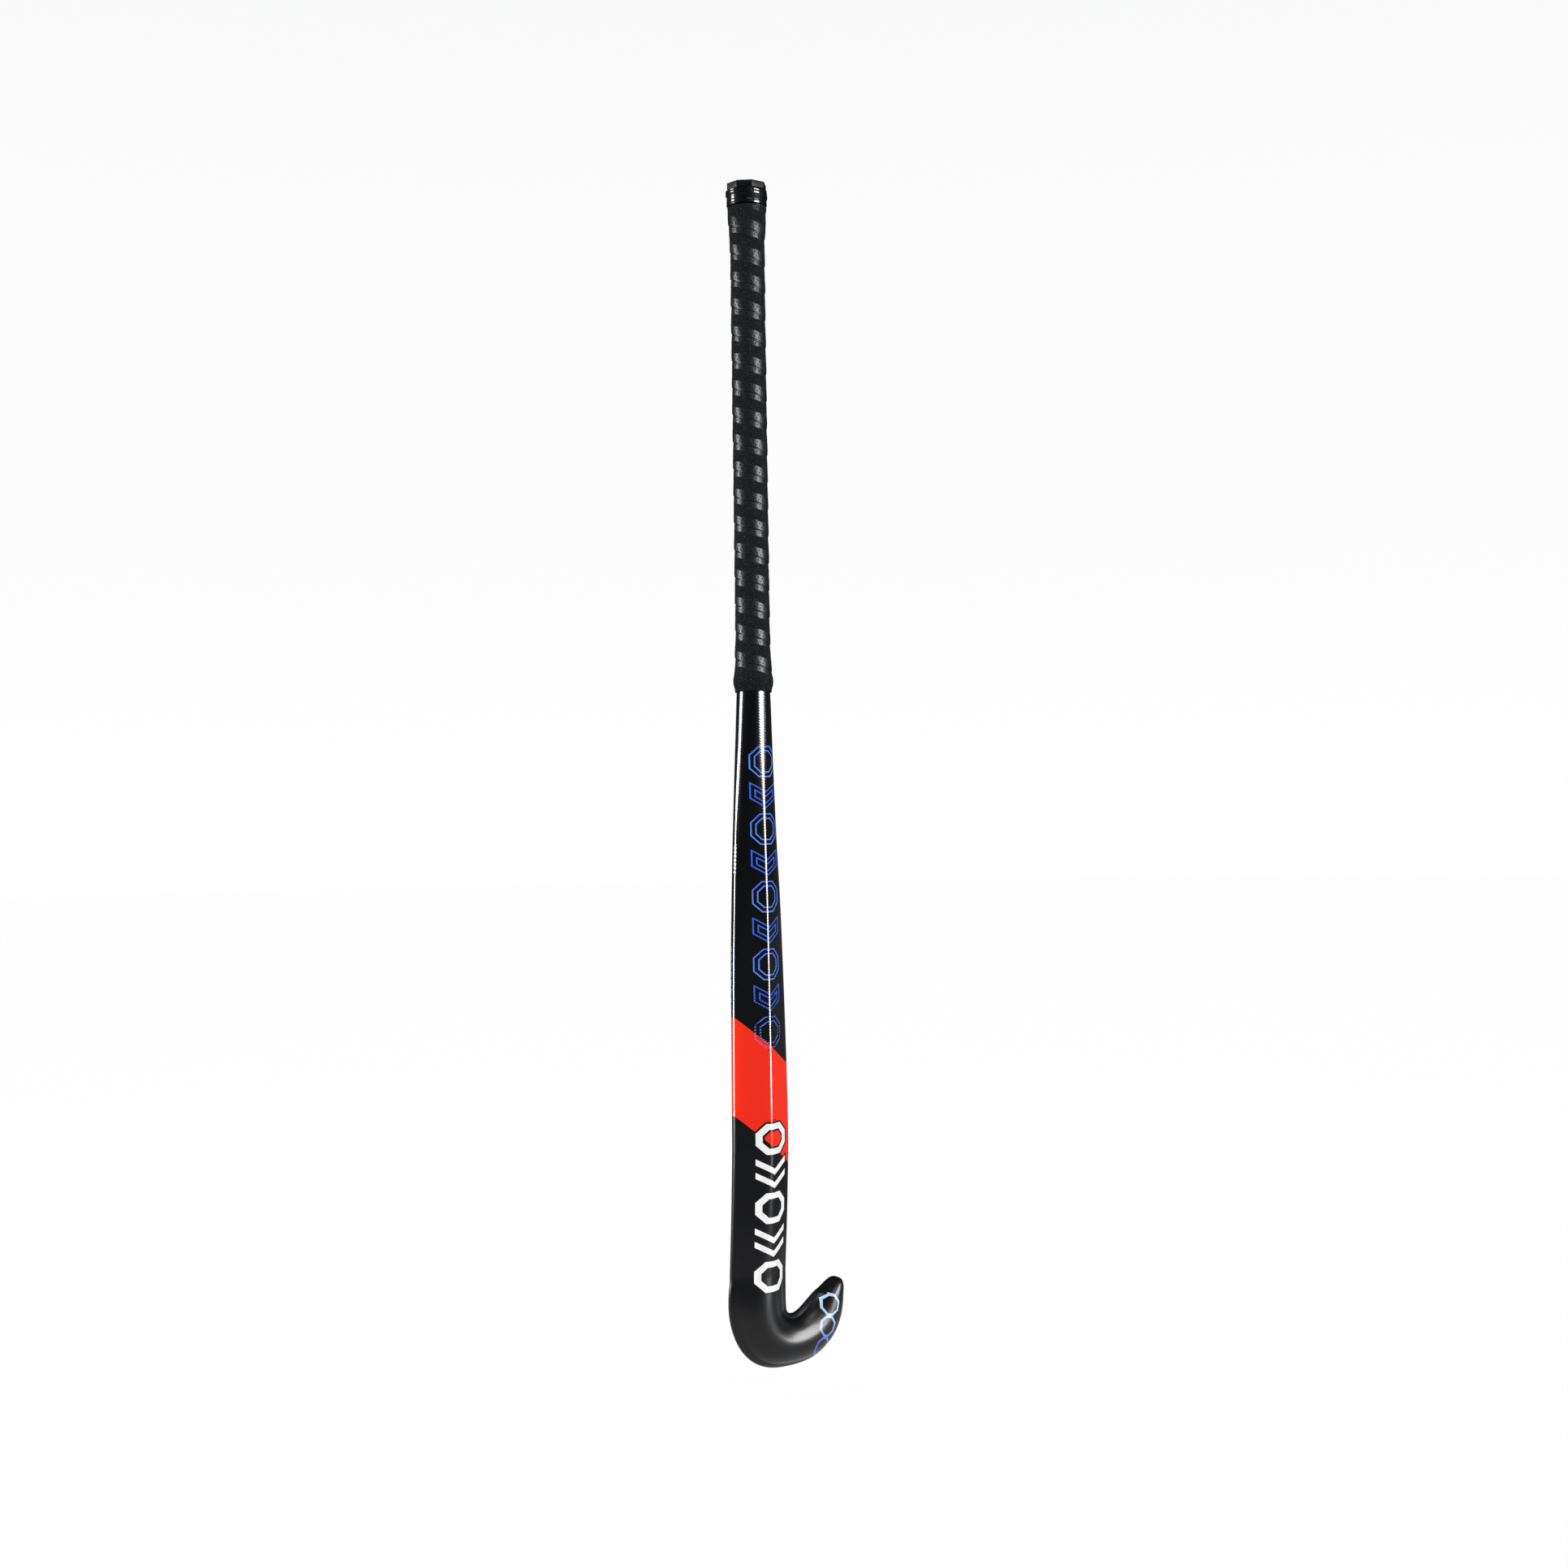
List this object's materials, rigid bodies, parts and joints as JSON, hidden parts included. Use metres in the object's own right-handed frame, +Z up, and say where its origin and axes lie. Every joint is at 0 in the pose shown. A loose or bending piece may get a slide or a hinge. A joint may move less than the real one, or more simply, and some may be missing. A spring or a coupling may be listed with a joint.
{
  "type": "field hockey stick",
  "caption": "Moulded composite field hockey stick: round gripped handle, ridged shaft with one flat playing face, hooked head, hollow shell with foam filling.",
  "frame": {"origin": "centre of the flat top of the cap at the handle's end", "axes": "+Z up along the handle and away from the head, +X towards the toe of the hook, +Y out of the flat playing face"},
  "size_m": [0.1035, 0.0344, 0.9269],
  "materials": {
    "carbon_laminate": null,
    "inner_laminate": "bare cured laminate",
    "shaft_foam": "light closed-cell foam",
    "head_foam": "dense foam with resin",
    "aramid_ply": "woven reinforcing ply set in resin",
    "plug_plastic": "moulded, matte",
    "damping_rubber": "soft, matte",
    "cap_rubber": "moulded, semi-gloss",
    "band_vinyl": "glossy stretch tape",
    "underlay_tape": "double-sided cloth tape",
    "grip_cushion": "perforated soft polyurethane, wound"
  },
  "bodies": {
    "root": {"outer_shell": "carbon_laminate", "core_web": "inner_laminate", "core_heel_side": "shaft_foam", "core_toe_side": "shaft_foam", "head_core": "head_foam", "face_ply": "aramid_ply", "handle_plug": "plug_plastic", "damping_sleeve": "damping_rubber", "butt_cap": "cap_rubber", "finishing_band": "band_vinyl", "grip_underlay": "underlay_tape", "cushion_grip": "grip_cushion"}
  },
  "joints": []
}
